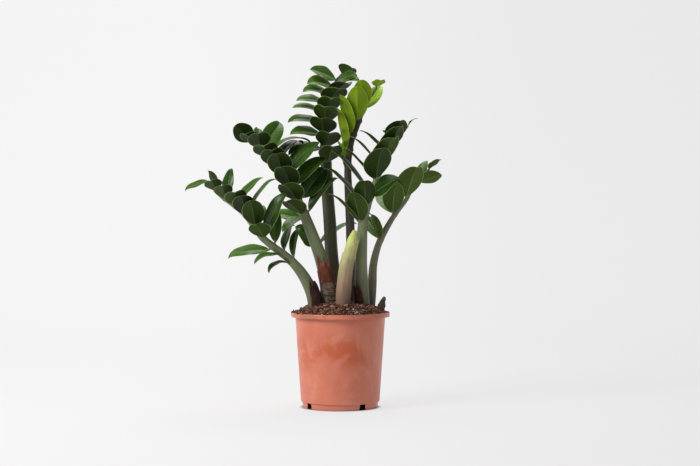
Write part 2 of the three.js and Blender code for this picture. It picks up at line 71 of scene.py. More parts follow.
# Each frond: centreline of its stalk, stalk radius at the soil, at the first leaflets and at
# the tip, and its two rows of leaflets from the lowest pair up, in millimetres and degrees.
FRONDS = [dict(
    name="left_low", leaf="leaf_dark", stalk="stalk_green", radius=[12.5, 7.5, 2],
    path=[
        [-41, -15, 164], [-47, -19, 193], [-57, -24, 217], [-69, -29, 236], [-83, -35, 252],
        [-98, -41, 265], [-115, -47, 278], [-132, -51, 293], [-147, -54, 313], [-162, -56, 332],
        [-180, -60, 347], [-198, -63, 360], [-213, -66, 375], [-221, -68, 387],
    ],
    first=0.308, last=0.9,
    near=dict(
        length=[50, 60, 76, 54, 66, 66, 64, 60, 54], width=[20, 22, 27, 38, 38, 38, 38, 31, 30],
        heading=[-147, -148, -180, -106, -98, -95, -87, -92, -94],
        rise=[-17, -10, -6, 28, 43, 31, 26, 23, 20],
        turn=[8, 14, 40, -12, -12, -12, -12, -12, -14], droop=[85, 65, 25, 8, 8, 8, 8, 8, 8],
    ),
    far=dict(
        length=[62, 62, 68, 84, 46, 78, 66, 56, 40], width=[20, 22, 24, 36, 22, 24, 22, 20, 22],
        heading=[69, 70, 93, -22, 75, 0, 22, 75, -125], rise=[64, 49, 77, 65, 50, 55, 47, 66, 58],
        turn=[25, 25, 10, -62, -20, -20, -20, 0, 10], droop=[50, 40, 15, 20, 45, 25, 35, 10, 5],
    ),
    tip=dict(length=44, width=18, heading=-180, rise=-20, turn=35, droop=15),
), dict(
    name="left_high", leaf="leaf_dark", stalk="stalk_green", radius=[13.5, 8.5, 2],
    path=[
        [-16, -4, 163], [-21, -7, 206], [-33, -11, 256], [-48, -15, 297], [-62, -18, 332],
        [-74, -21, 357], [-89, -24, 379], [-104, -27, 400], [-119, -30, 418], [-133, -33, 437],
        [-141, -36, 447], [-149, -38, 455],
    ],
    first=0.364, last=0.927,
    near=dict(
        length=[62, 70, 74, 74, 72, 72, 64, 54], width=[40, 42, 42, 42, 42, 42, 40, 36],
        heading=[-121, -110, -101, -100, -95, -90, -93, -108],
        rise=[26, 28, 33, 35, 27, 19, 24, 21],
        turn=[-8, -10, -10, -10, -10, -10, -10, -10], droop=[10, 10, 10, 8, 8, 8, 8, 8],
    ),
    far=dict(
        length=[86, 76, 80, 86, 80, 94, 72, 42], width=[24, 38, 32, 32, 28, 26, 34, 24],
        heading=[28, 37, 25, 22, 44, 25, 52, 87], rise=[47, 47, 42, 46, 38, 17, 42, 46],
        turn=[-25, -50, -35, -40, -5, -5, -55, -40], droop=[60, 20, 40, 35, 75, 88, 10, 10],
    ),
    tip=dict(length=46, width=34, heading=-141, rise=37, turn=-60, droop=5),
), dict(
    name="tall", leaf="leaf_mid", stalk="stalk_dark", radius=[12.5, 9.5, 2],
    path=[
        [-8, 22, 162], [-9, 23, 208], [-15, 26, 260], [-18, 29, 312], [-22, 32, 365],
        [-23, 34, 394], [-25, 36, 420], [-27, 38, 446], [-27, 40, 469], [-25, 41, 490],
        [-23, 42, 508], [-20, 43, 524], [-16, 44, 539], [-12, 45, 553], [-6, 46, 565],
        [3, 47, 576],
    ],
    first=0.4, last=0.933,
    near=dict(
        length=[70, 74, 76, 76, 74, 72, 68, 58, 46], width=[42, 44, 48, 44, 42, 46, 40, 32, 26],
        heading=[-77, -81, -95, -91, -85, -76, -64, -44, -45],
        rise=[26, 21, 22, 22, 21, 19, 18, 11, 6],
        turn=[0, 5, 8, 8, 5, 5, 0, -30, -50], droop=[10, 10, 10, 10, 10, 10, 10, 25, 20],
    ),
    far=dict(
        length=[72, 72, 66, 70, 68, 66, 60, 58, 54], width=[34, 36, 29, 26, 25, 27, 28, 32, 32],
        heading=[126, -142, -144, -147, -140, -141, -138, -135, -146],
        rise=[-11, -8, 4, 2, 5, 4, 6, 5, 16],
        turn=[35, 30, 40, 36, 32, 36, 39, 46, 55], droop=[20, 25, 20, 22, 20, 20, 22, 22, 15],
    ),
    tip=dict(length=38, width=34, heading=-61, rise=14, turn=25, droop=5),
), dict(
    name="young", leaf="leaf_young", stalk="stalk_purple", radius=[9, 6, 1.6],
    path=[
        [15, 22, 162], [18, 24, 234], [17, 24, 312], [14, 22, 373], [13, 20, 408], [15, 18, 434],
        [20, 16, 459], [29, 14, 482], [37, 12, 504], [46, 10, 523], [55, 8, 538], [63, 6, 550],
    ],
    first=0.391, last=0.773,
    near=dict(
        length=[48, 78, 76, 70, 58], width=[22, 24, 28, 38, 34],
        heading=[-180, -124, -120, -91, -92], rise=[76, 72, 64, 58, 56],
        turn=[15, 15, 10, 0, 0], droop=[10, 10, 15, 8, 8],
    ),
    far=dict(
        length=[54, 66, 60, 50, 56], width=[22, 26, 28, 30, 30],
        heading=[100, 90, 90, 90, 35], rise=[66, 68, 66, 60, 50],
        turn=[0, 0, 0, 0, -35], droop=[10, 10, 10, 8, 8],
    ),
    tip=dict(length=28, width=24, heading=-75, rise=24, turn=0, droop=5),
), dict(
    name="centre_right", leaf="leaf_dark", stalk="stalk_green", radius=[12.5, 8, 1.8],
    path=[
        [39, -4, 163], [37, -8, 210], [36, -12, 249], [37, -16, 287], [39, -19, 318],
        [44, -21, 340], [51, -23, 361], [58, -25, 379], [65, -27, 398], [73, -28, 417],
        [81, -30, 434], [91, -31, 450], [103, -32, 467], [115, -33, 481],
    ],
    first=0.308, last=0.862,
    near=dict(
        length=[62, 64, 66, 84, 82, 74, 60], width=[38, 38, 36, 50, 50, 46, 40],
        heading=[-108, -88, -48, -80, -73, -67, -80], rise=[58, 48, 23, 40, 39, 40, 36],
        turn=[0, 0, -75, -12, -16, -14, -10], droop=[10, 10, 10, 8, 8, 8, 8],
    ),
    far=dict(
        length=[76, 92, 92, 78, 76, 66, 40], width=[26, 28, 28, 28, 28, 26, 20],
        heading=[-147, -180, -180, -152, -153, -141, -124], rise=[42, 49, 50, 44, 43, 36, 28],
        turn=[14, 16, 16, 16, 16, 16, 14], droop=[10, 8, 8, 8, 8, 10, 10],
    ),
    tip=dict(length=24, width=5, heading=-28, rise=35, turn=0, droop=60),
), dict(
    name="right", leaf="leaf_mid", stalk="stalk_brown", radius=[9, 5.5, 1.8],
    path=[
        [51, 24, 162], [55, 22, 208], [57, 20, 243], [65, 17, 276], [77, 14, 302], [89, 12, 323],
        [101, 11, 340], [112, 10, 354], [120, 9, 368], [130, 8, 383], [141, 7, 397], [153, 6, 409],
    ],
    first=0.309, last=0.855,
    near=dict(
        length=[60, 66, 76, 44], width=[28, 38, 47, 26],
        heading=[-107, -83, -71, -28], rise=[53, 58, 48, 20],
        turn=[35, 0, 0, 50], droop=[15, 12, 8, 20],
    ),
    far=dict(
        length=[60, 66, 60, 50], width=[26, 36, 30, 26],
        heading=[117, 113, 100, 61], rise=[43, 41, 45, 47],
        turn=[20, 20, 30, 10], droop=[15, 15, 15, 8],
    ),
    tip=dict(length=32, width=20, heading=-47, rise=35, turn=0, droop=5),
), dict(
    name="back_left", leaf="leaf_dark", stalk="stalk_green", radius=[8, 5, 1.8],
    path=[
        [-18, 42, 160], [-22, 48, 204], [-31, 54, 247], [-43, 60, 281], [-55, 66, 305],
        [-64, 70, 324], [-72, 74, 342], [-77, 76, 358],
    ],
    first=0.414, last=0.714,
    near=dict(
        length=[52, 56], width=[38, 28],
        heading=[-143, -173], rise=[39, 11],
        turn=[75, 45], droop=[10, 20],
    ),
    far=dict(
        length=[80, 60], width=[38, 22],
        heading=[25, -132], rise=[31, -23],
        turn=[0, 20], droop=[15, 60],
    ),
    tip=dict(length=44, width=26, heading=103, rise=32, turn=20, droop=5),
)]

# shoot in its sleeve, and the stub of a side shoot
SPEAR = dict(
    path=[
        [4, -32, 122], [4, -32, 165], [6, -34, 205],
        [10, -36, 240], [17, -38, 272], [25, -39, 304],
    ],
    radius=[8.5, 8.8, 9, 9.3, 9.6, 9.8, 10, 10, 9.7, 8.6, 3.4],
    sleeve=[11.5, 12.3, 13, 12.2, 11.4, 10],
    mouth=(12, -36, 273),
    tilt=39,
)
SPROUT = dict(
    path=[[60, -8, 134], [65, -7, 158], [71, -6, 175], [76, -6, 190]],
    radius=[6, 7.5, 6.5, 2.2],
)

# dried sheaths round the feet of stalks: from start to end along the stalk, the side they
# cover (degrees round the stalk from +X), how much of it, and their distance from its skin
SHEATHS = [
    dict(
        name="crown_sheath", frond="left_high", slot="sheath_red", start=0.04, end=0.2, side=-80,
        cover=[150, 140, 95], flare=[1.2, 1.8, 2.6], seed=3,
    ),
    dict(
        name="left_sheath", frond="left_low", slot="sheath_dark", start=0.03, end=0.17, side=-55,
        cover=[120, 95, 40], flare=[1, 1.8, 4], seed=5,
    ),
    dict(
        name="right_sheath", frond="centre_right", slot="sheath_red", start=0.028, end=0.09,
        side=-135, cover=[120, 90, 20], flare=[1, 1.6, 3.6], seed=9,
    ),
]

# ---- curves ---------------------------------------------------------------------------


def unit(v):
    return v / np.linalg.norm(v)


def bell(x, middle, width):
    return math.exp(-(((x - middle) / width) ** 2))


def wobble(x, y, z):
    """Smooth noise, about -1 to 1."""
    return noise.noise(Vector((x, y, z)))


def level(r, a):
    """x and y at a distance and an angle round the pot's axis."""
    return r * math.cos(a), r * math.sin(a)


def polar(r, a, z):
    return np.array([*level(r, a), z])


def around(at, e1, e2, r, a):
    """Point at a distance and an angle round the point at, in the plane of e1 and e2."""
    return at + r * (math.cos(a) * e1 + math.sin(a) * e2)


def spline(points, u):
    """Point of a Catmull-Rom curve of tension 0.5."""
    p = np.asarray(points, float)
    last = len(p) - 1
    x = last * min(max(u, 0), 1)
    i = min(int(x), last - 1)
    w = x - i
    before = p[i - 1] if i else 2 * p[0] - p[1]
    after = p[i + 2] if i + 2 <= last else 2 * p[-1] - p[-2]
    t0, t1 = (p[i + 1] - before) / 2, (after - p[i]) / 2
    a, b = p[i], p[i + 1]
    return a + t0 * w + (3 * (b - a) - 2 * t0 - t1) * w**2 + (2 * (a - b) + t0 + t1) * w**3


def spine(points, u):
    """Point, direction and a steady pair of directions across; u below 0 runs straight down."""
    along = np.array([0, 0, 1.0])
    if 0 <= u <= 1:
        along = unit(spline(points, u + 1e-3) - spline(points, u - 1e-3))
    at = spline(points, u) if u >= 0 else np.array(points[0], float) + np.array([0, 0, BURIED * u])
    e1 = unit(np.cross([0, 1.0, 0], along))
    return at, along, e1, np.cross(along, e1)


def blend(values, v):
    return float(np.interp(v, np.linspace(0, 1, len(values)), values))


def stalk_radius(frond, u):
    base, first, tip = frond["radius"]
    return float(np.interp(u, [0, frond["first"], 1], [base, first, tip]))


# ---- meshes ---------------------------------------------------------------------------


class Builder:
    """Collects vertices and faces, with a UV, a material number and a tone, into one mesh."""

    def __init__(self):
        self.verts, self.faces, self.uvs, self.mats, self.tones = [], [], [], [], []

    def grid(self, points, uv, mat=0, tone=0.5, close=False, flip=False):
        """points[i][j] as a sheet of quads; close joins the last column to the first."""
        rows, cols = len(points), len(points[0])
        start = len(self.verts)
        for row in points:
            self.verts.extend(row)
        self.tones.extend([tone] * (rows * cols))
        for i in range(rows - 1):
            for j in range(cols if close else cols - 1):
                k = (j + 1) % cols
                quad = [start + i * cols + j, start + i * cols + k,
                        start + (i + 1) * cols + k, start + (i + 1) * cols + j]
                corner = [uv[i][j], uv[i][j + 1], uv[i + 1][j + 1], uv[i + 1][j]]
                if flip:
                    quad, corner = quad[::-1], corner[::-1]
                self.faces.append(quad)
                self.uvs.append(corner)
                self.mats.append(mat)
        return start

    def face(self, quad, corners, mat):
        self.faces.append(quad)
        self.uvs.append(corners)
        self.mats.append(mat)

    def tube(self, rings, mat=0, tone=0.5, lengths=None):
        """Closed round body through rings of points, with flat ends."""
        n = len(rings[0])
        us = lengths or [i / (len(rings) - 1) for i in range(len(rings))]
        uv = [[(u, j / n) for j in range(n + 1)] for u in us]
        start = self.grid(rings, uv, mat, tone, close=True)
        for ring, base, turn in ((0, start, -1), (len(rings) - 1, start + (len(rings) - 1) * n, 1)):
            loop = [base + j for j in range(n)][::turn]
            self.face(loop, [(us[ring], 0.5)] * n, mat)

    def close_rim(self, a, b, uv, mat):
        """Joins the edges of two grids of equal size that start at the vertices a and b."""
        rows, cols = len(uv), len(uv[0])
        rim = [(0, j) for j in range(cols - 1)] + [(i, cols - 1) for i in range(rows - 1)]
        rim += [(rows - 1, j) for j in range(cols - 1, 0, -1)]
        rim += [(i, 0) for i in range(rows - 1, 0, -1)]
        for (i0, j0), (i1, j1) in zip(rim, rim[1:] + rim[:1]):
            p, q = i0 * cols + j0, i1 * cols + j1
            here, there = uv[i0][j0], uv[i1][j1]
            self.face([a + p, a + q, b + q, b + p], [here, there, there, here], mat)

    def blob(self, centre, size, rot, mat, tone, rnd, rough=0.25):
        """Small lump: a rounded cube with its corners moved at random."""
        start = len(self.verts)
        for x in (-1, 1):
            for y in (-1, 1):
                for z in (-1, 1):
                    p = [
                        sign * s * (0.62 + rough * rnd.uniform(-1, 1))
                        for sign, s in zip((x, y, z), size)
                    ]
                    self.verts.append(np.array(rot @ Vector(p)) + centre)
        for axis in range(3):
            for sign in (-1, 1):
                p = [0, 0, 0]
                p[axis] = sign * size[axis] * (0.95 + rough * rnd.uniform(-1, 1))
                self.verts.append(np.array(rot @ Vector(p)) + centre)
        self.tones.extend([tone] * 14)
        # the four corners of each side, numbered 4x + 2y + z, round the middle of the side
        sides = (0, 1, 3, 2), (4, 6, 7, 5), (0, 4, 5, 1), (2, 3, 7, 6), (0, 2, 6, 4), (1, 5, 7, 3)
        for middle, loop in enumerate(sides, start + 8):
            for a, b in zip(loop, loop[1:] + loop[:1]):
                self.face([start + a, start + b, middle], [(0, 0), (1, 0), (0.5, 1)], mat)

    def object(self, name, materials, smooth=True):
        mesh = bpy.data.meshes.new(name)
        mesh.from_pydata([tuple(v * MM) for v in self.verts], [], self.faces)
        layer = mesh.uv_layers.new(name="surface")
        layer.data.foreach_set("uv", [c for face in self.uvs for uv in face for c in uv])
        tone = mesh.attributes.new("tone", "FLOAT", "POINT")
        tone.data.foreach_set("value", self.tones)
        for material in materials:
            mesh.materials.append(material)
        mesh.polygons.foreach_set("material_index", self.mats)
        mesh.polygons.foreach_set("use_smooth", [smooth] * len(self.faces))
        mesh.update()
        thing = bpy.data.objects.new(name, mesh)
        bpy.context.collection.objects.link(thing)
        return thing


def piece(thing, slot, *nodes):
    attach(thing, "root")
    if nodes:
        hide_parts(*nodes)
    return thing


# ---- materials ------------------------------------------------------------------------


class Paint:
    """Short-hand for a node tree that ends in one Principled shader."""

    def __init__(self, name):
        self.material = bpy.data.materials.new(name)
        self.material.use_nodes = True
        self.tree = self.material.node_tree
        self.shader = self.tree.nodes["Principled BSDF"]

    def put(self, socket, value):
        if isinstance(value, bpy.types.NodeSocket):
            self.tree.links.new(value, socket)
        elif isinstance(value, tuple) and len(value) == 3 and socket.type == "RGBA":
            socket.default_value = (*value, 1)
        else:
            socket.default_value = value

    def node(self, kind, out=0, inputs=(), **settings):
        n = self.tree.nodes.new("ShaderNode" + kind)
        for key, value in settings.items():
            setattr(n, key, value)
        for key, value in dict(inputs).items():
            self.put(n.inputs[key], value)
        return n.outputs[out]

    def math(self, operation, *values, clamp=False):
        inputs = dict(enumerate(values))
        return self.node("Math", inputs=inputs, operation=operation, use_clamp=clamp)

    def times(self, a, b):
        return self.math("MULTIPLY", a, b)

    def plus(self, a, b, clamp=False):
        return self.math("ADD", a, b, clamp=clamp)

    def scaled(self, value, factor, shift):
        return self.math("MULTIPLY_ADD", value, factor, shift)

    def mix(self, factor, a, b, mode="MIX"):
        return self.node(
            "Mix", out=2, data_type="RGBA", blend_type=mode,
            inputs={"Factor": factor, 6: a, 7: b},
        )

    def smooth(self, value, low, high, a=0.0, b=1.0):
        return self.node(
            "MapRange", interpolation_type="SMOOTHSTEP",
            inputs={"Value": value, "From Min": low, "From Max": high, "To Min": a, "To Max": b},
        )

    def noise(self, scale, detail=3, rough=0.5, vector=None, stretch=None, distortion=0.0):
        vector = vector or self.place()
        if stretch:
            vector = self.node("Mapping", inputs={"Vector": vector, "Scale": stretch})
        return self.node(
            "TexNoise",
            inputs={
                "Vector": vector, "Scale": scale, "Detail": detail, "Roughness": rough,
                "Distortion": distortion,
            },
        )

    def place(self):
        """Position in the object's own axes, in metres."""
        return self.node("TexCoord", out=3)

    def split(self, vector):
        n = self.tree.nodes.new("ShaderNodeSeparateXYZ")
        self.put(n.inputs[0], vector)
        return list(n.outputs)

    def uv(self):
        """Place on the surface, and its parts along (0 at the foot, 1 at the tip) and across."""
        at = self.node("UVMap", uv_map="surface")
        along, across, _ = self.split(at)
        return at, along, across

    def tone(self):
        """Brightness given to each leaf or grain."""
        return self.node("Attribute", out=2, attribute_name="tone")

    def ramp(self, value, *stops):
        n = self.tree.nodes.new("ShaderNodeValToRGB")
        ramp = n.color_ramp
        while len(ramp.elements) < len(stops):
            ramp.elements.new(0.5)
        for element, (at, color) in zip(ramp.elements, stops):
            element.position = at
            element.color = (*color, 1)
        self.put(n.inputs[0], value)
        return n.outputs[0]

    def bump(self, height, strength, distance):
        inputs = {"Strength": strength, "Distance": distance, "Height": height}
        return self.node("Bump", inputs=inputs)

    def finish(self, color, roughness, normal=None, **fixed):
        self.put(self.shader.inputs["Base Color"], color)
        self.put(self.shader.inputs["Roughness"], roughness)
        if normal:
            self.put(self.shader.inputs["Normal"], normal)
        for key, value in fixed.items():
            self.shader.inputs[key.replace("_", " ")].default_value = value
        return self.material


def shade(color, factor):
    return tuple(factor * c for c in color)


def leaf_paint(name, dark, light, rib, pale_edge_and_highlight, under=False):
    """Waxy blade: pale midrib, pale edge partly painted highlight, faint side veins, slow changes
    of green.
    """
    p = Paint(name)
    _, s, v = p.uv()
    q = p.math("ABSOLUTE", p.scaled(v, 2.0, -1.0))
    patch = p.noise(28, 4, 0.55)
    fine = p.noise(420, 3, 0.6)
    uneven = p.scaled(patch, 0.9, -0.35)
    amount = p.plus(p.times(p.tone(), 0.8), uneven, clamp=True)
    color = p.mix(amount, dark, light)
    # side veins run forward from the midrib, unevenly spaced
    along = p.math("SUBTRACT", s, p.times(q, 0.2))
    wave = p.math("SINE", p.times(p.scaled(patch, 0.12, along), 62.0))
    veins = p.times(p.smooth(wave, 0.2, 1.0), p.smooth(q, 0.95, 0.3))
    color = p.mix(p.times(veins, 0.08 if under else 0.11), color, rib)
    half = p.smooth(s, 0.0, 1.0, 0.075, 0.03)
    ribline = p.smooth(p.math("SUBTRACT", 1.0, p.math("DIVIDE", q, half), clamp=True), 0.0, 0.65)
    color = p.mix(p.times(ribline, p.smooth(s, 1.0, 0.5, 0.25, 0.75)), color, rib)
    # pale edge and foot of the blade: the leaf's own rim, made paler as a painted highlight
    color = p.mix(p.times(p.smooth(q, 0.93, 0.985), 0.85), color, pale_edge_and_highlight)
    color = p.mix(p.smooth(s, 0.07, 0.0), color, pale_edge_and_highlight)
    relief = p.plus(p.times(veins, 0.5), p.times(fine, 0.2))
    relief = p.plus(relief, p.times(patch, 0.8))
    rough = p.smooth(patch, 0.25, 0.75, 0.55 if under else 0.27, 0.66 if under else 0.40)
    gloss = 0.13 if under else 0.25
    return p.finish(color, rough, p.bump(relief, 0.22, 0.0012), Specular_IOR_Level=gloss)


def stalk_paint(name, base, dark, foot, streak=0.5, painted_shade_above=False):
    """Fleshy stalk: dark flecks, faint streaks, brown foot; painted shade may darken it upwards."""
    p = Paint(name)
    uv, s, v = p.uv()
    flecks = p.noise(60, 4, 0.7, vector=uv, stretch=(22, 1.2, 1))
    streaks = p.noise(14, 3, 0.6, vector=uv, stretch=(0.6, 6, 1))
    patch = p.noise(18, 3)
    duller = tuple(0.72 * a + 0.28 * b for a, b in zip(base, dark))
    color = p.mix(p.smooth(patch, 0.3, 0.75), base, duller)
    color = p.mix(p.times(p.smooth(streaks, 0.5, 0.75), streak), color, dark)
    color = p.mix(p.times(p.smooth(flecks, 0.56, 0.68), 0.5), color, dark)
    # painted shade: darker upwards, where the stalk runs under its leaves
    if painted_shade_above:
        color = p.mix(p.smooth(s, 0.25, 0.6, 0.0, 0.75), color, shade(dark, 0.5))
    color = p.mix(p.times(p.smooth(s, 0.16, 0.02), 0.8), color, foot)
    relief = p.plus(p.times(streaks, 0.6), p.times(flecks, 0.4))
    return p.finish(color, p.smooth(patch, 0.3, 0.7, 0.42, 0.6), p.bump(relief, 0.35, 0.001))


def soil_paint():
    p = Paint("peat and bark")
    tone = p.tone()
    grain = p.noise(260, 5, 0.7)
    patch = p.noise(60, 3, 0.6)
    uneven = p.scaled(grain, 0.7, -0.3)
    mixed = p.plus(p.times(tone, 0.8), uneven, clamp=True)
    color = p.ramp(
        mixed,
        (0.0, (0.014, 0.007, 0.005)),
        (0.25, (0.065, 0.028, 0.018)),
        (0.55, (0.175, 0.078, 0.050)),
        (0.85, (0.30, 0.155, 0.105)),
        (1.0, (0.42, 0.27, 0.20)),
    )
    color = p.mix(p.smooth(patch, 0.6, 0.8, 0.0, 0.35), color, (0.02, 0.010, 0.007))
    rough = p.smooth(grain, 0.3, 0.7, 0.8, 0.98)
    return p.finish(color, rough, p.bump(grain, 0.8, 0.002), Specular_IOR_Level=0.3)


def perlite_paint():
    p = Paint("perlite")
    grain = p.noise(500, 4, 0.7)
    color = p.ramp(grain, (0.3, (0.62, 0.60, 0.57)), (0.7, (0.92, 0.91, 0.89)))
    return p.finish(color, 0.75, p.bump(grain, 0.6, 0.001))


def pot_paint():
    """Terracotta-coloured moulded plastic: salmon with orange blotches, dusty round the rim."""
    p = Paint("terracotta plastic")
    big = p.noise(9, 3, 0.5, distortion=0.6)
    mid = p.noise(34, 4, 0.6)
    fine = p.noise(900, 2, 0.6)
    blotch = p.noise(20, 3, 0.55, stretch=(1, 1, 0.7), distortion=0.8)
    _, _, high = p.split(p.place())
    color = p.ramp(
        big, (0.32, (0.50, 0.138, 0.080)), (0.5, (0.56, 0.168, 0.104)), (0.72, (0.62, 0.215, 0.148))
    )
    band = p.times(p.smooth(high, 0.062, 0.088), p.smooth(high, 0.135, 0.105))
    band = p.times(p.smooth(blotch, 0.40, 0.58), p.scaled(band, 0.8, 0.15))
    color = p.mix(band, color, (0.47, 0.088, 0.026))
    color = p.mix(p.smooth(mid, 0.52, 0.8, 0.0, 0.3), color, (0.66, 0.34, 0.26))
    dust = p.times(p.smooth(high, 0.147, 0.161), p.smooth(mid, 0.42, 0.66))
    color = p.mix(p.times(dust, 0.55), color, (0.16, 0.085, 0.060))
    specks = p.smooth(p.noise(240, 2, 0.5), 0.70, 0.77, 0.0, 0.6)
    color = p.mix(specks, color, (0.20, 0.085, 0.055))
    # painted shade underneath, inside the foot ring, with some dirt
    flat = p.node("VectorMath", operation="MULTIPLY", inputs={0: p.place(), 1: (1, 1, 0)})
    radius = p.node("VectorMath", out=1, operation="LENGTH", inputs={0: flat})
    below = p.times(p.smooth(radius, 0.0641, 0.0632), p.smooth(high, 0.0125, 0.0105))
    color = p.mix(below, color, (0.030, 0.010, 0.006))
    relief = p.plus(p.times(mid, 0.7), p.times(fine, 0.06))
    rough = p.plus(p.smooth(mid, 0.3, 0.7, 0.29, 0.38), p.smooth(fine, 0.3, 0.7, 0.0, 0.04))
    return p.finish(color, rough, p.bump(relief, 0.12, 0.0015), Specular_IOR_Level=0.42)


def scale_paint(name, dark, light, edge, foot=None):
    """Dry leaf scale: long fibres with dark slits, ragged pale edge, perhaps a corky foot."""
    p = Paint(name)
    uv, s, v = p.uv()
    fibres = p.noise(20, 5, 0.7, vector=uv, stretch=(0.7, 9, 1), distortion=0.4)
    slits = p.noise(9, 3, 0.5, vector=uv, stretch=(0.6, 8, 1), distortion=0.5)
    patch = p.noise(70, 4, 0.6)
    uneven = p.scaled(patch, 0.7, -0.35)
    amount = p.plus(p.times(fibres, 0.9), uneven, clamp=True)
    color = p.mix(p.smooth(amount, 0.25, 0.75), dark, light)
    rim = p.smooth(p.math("ABSOLUTE", p.scaled(v, 2.0, -1.0)), 0.86, 1.0)
    rim = p.math("MAXIMUM", rim, p.smooth(s, 0.86, 1.0))
    color = p.mix(p.times(rim, 0.5), color, edge)
    color = p.mix(p.smooth(slits, 0.54, 0.62, 0.0, 0.85), color, shade(dark, 0.3))
    if foot:
        rings = p.noise(120, 4, 0.65, stretch=(1, 1, 2.5))
        cork = p.mix(p.smooth(rings, 0.4, 0.62), foot, shade(foot, 0.25))
        color = p.mix(p.smooth(p.scaled(patch, 0.2, s), 0.66, 0.52), color, cork)
    rough = p.smooth(patch, 0.3, 0.7, 0.65, 0.9)
    return p.finish(color, rough, p.bump(amount, 0.8, 0.002), Specular_IOR_Level=0.3)


def sleeve_paint():
    """Fleshy sleeve, greenish yellow at its mouth, pinkish beige below, with darker ribs."""
    p = Paint("shoot sleeve")
    uv, s, v = p.uv()
    ribs = p.noise(16, 4, 0.6, vector=uv, stretch=(0.35, 6, 1), distortion=0.2)
    patch = p.noise(40, 4, 0.6)
    color = p.ramp(
        s,
        (0.0, (0.12, 0.072, 0.048)),
        (0.3, (0.19, 0.120, 0.080)),
        (0.55, (0.31, 0.215, 0.140)),
        (0.76, (0.40, 0.36, 0.18)),
        (1.0, (0.47, 0.49, 0.18)),
    )
    color = p.mix(p.smooth(ribs, 0.46, 0.66, 0.0, 0.5), color, (0.15, 0.095, 0.060))
    color = p.mix(p.smooth(patch, 0.5, 0.75, 0.0, 0.4), color, (0.17, 0.10, 0.065))
    relief = p.plus(p.times(ribs, 0.8), p.times(patch, 0.3))
    rough = p.smooth(ribs, 0.3, 0.7, 0.5, 0.7)
    return p.finish(color, rough, p.bump(relief, 0.5, 0.0015), Specular_IOR_Level=0.3)


def spear_paint():
    """Furled young leaf: yellow-green, a little translucent."""
    p = Paint("young spear")
    uv, s, v = p.uv()
    ribs = p.noise(14, 4, 0.6, vector=uv, stretch=(0.4, 4, 1))
    color = p.ramp(
        s,
        (0.0, (0.30, 0.25, 0.13)),
        (0.72, (0.43, 0.43, 0.15)),
        (0.9, (0.52, 0.58, 0.18)),
        (1.0, (0.50, 0.55, 0.17)),
    )
    color = p.mix(p.smooth(ribs, 0.45, 0.7, 0.0, 0.35), color, (0.28, 0.36, 0.08))
    return p.finish(
        color, 0.45, p.bump(ribs, 0.4, 0.0012),
        Specular_IOR_Level=0.35, Subsurface_Weight=0.1, Subsurface_Scale=0.004,
    )


def rhizome_paint():
    p = Paint("rhizome skin")
    rings = p.noise(30, 5, 0.65, stretch=(1, 1, 4))
    color = p.ramp(
        rings, (0.3, (0.20, 0.13, 0.075)), (0.5, (0.34, 0.24, 0.15)), (0.7, (0.50, 0.40, 0.28))
    )
    return p.finish(color, 0.85, p.bump(rings, 0.6, 0.002))


# ---- leaflets -------------------------------------------------------------------------


def directions(leaf):
    """Across the blade, out along its foot, its upper normal there, and its bend in radians."""
    h, r, t, d = (math.radians(leaf[k]) for k in ("heading", "rise", "turn", "droop"))
    chord = np.array([math.cos(r) * math.cos(h), math.cos(r) * math.sin(h), math.sin(r)])
    up = np.array([-math.sin(r) * math.cos(h), -math.sin(r) * math.sin(h), math.cos(r)])
    face = math.cos(t) * up + math.sin(t) * np.cross(up, chord)
    out = math.cos(d / 2) * chord + math.sin(d / 2) * face
    normal = math.cos(d / 2) * face - math.sin(d / 2) * chord
    return np.cross(face, chord), out, normal, d


def half_width(s):
    """Half of a blade's outline, 1 at its widest: a short foot, an oval, and a small point."""
    oval = max(math.sin(math.pi * min(s, 0.94) ** 0.88), 0) ** 0.75
    if s > 0.94:
        oval *= ((1 - s) / 0.06) ** 1.25
    return max(0.07 * (1 - s), oval)


STATIONS = [1 - (1 - i / 34) ** 1.12 for i in range(35)]
RIGHT_HALF = [0.05, 0.13, 0.27, 0.44, 0.62, 0.78, 0.9, 0.96, 1]
COLUMNS = [-q for q in reversed(RIGHT_HALF)] + [0] + RIGHT_HALF


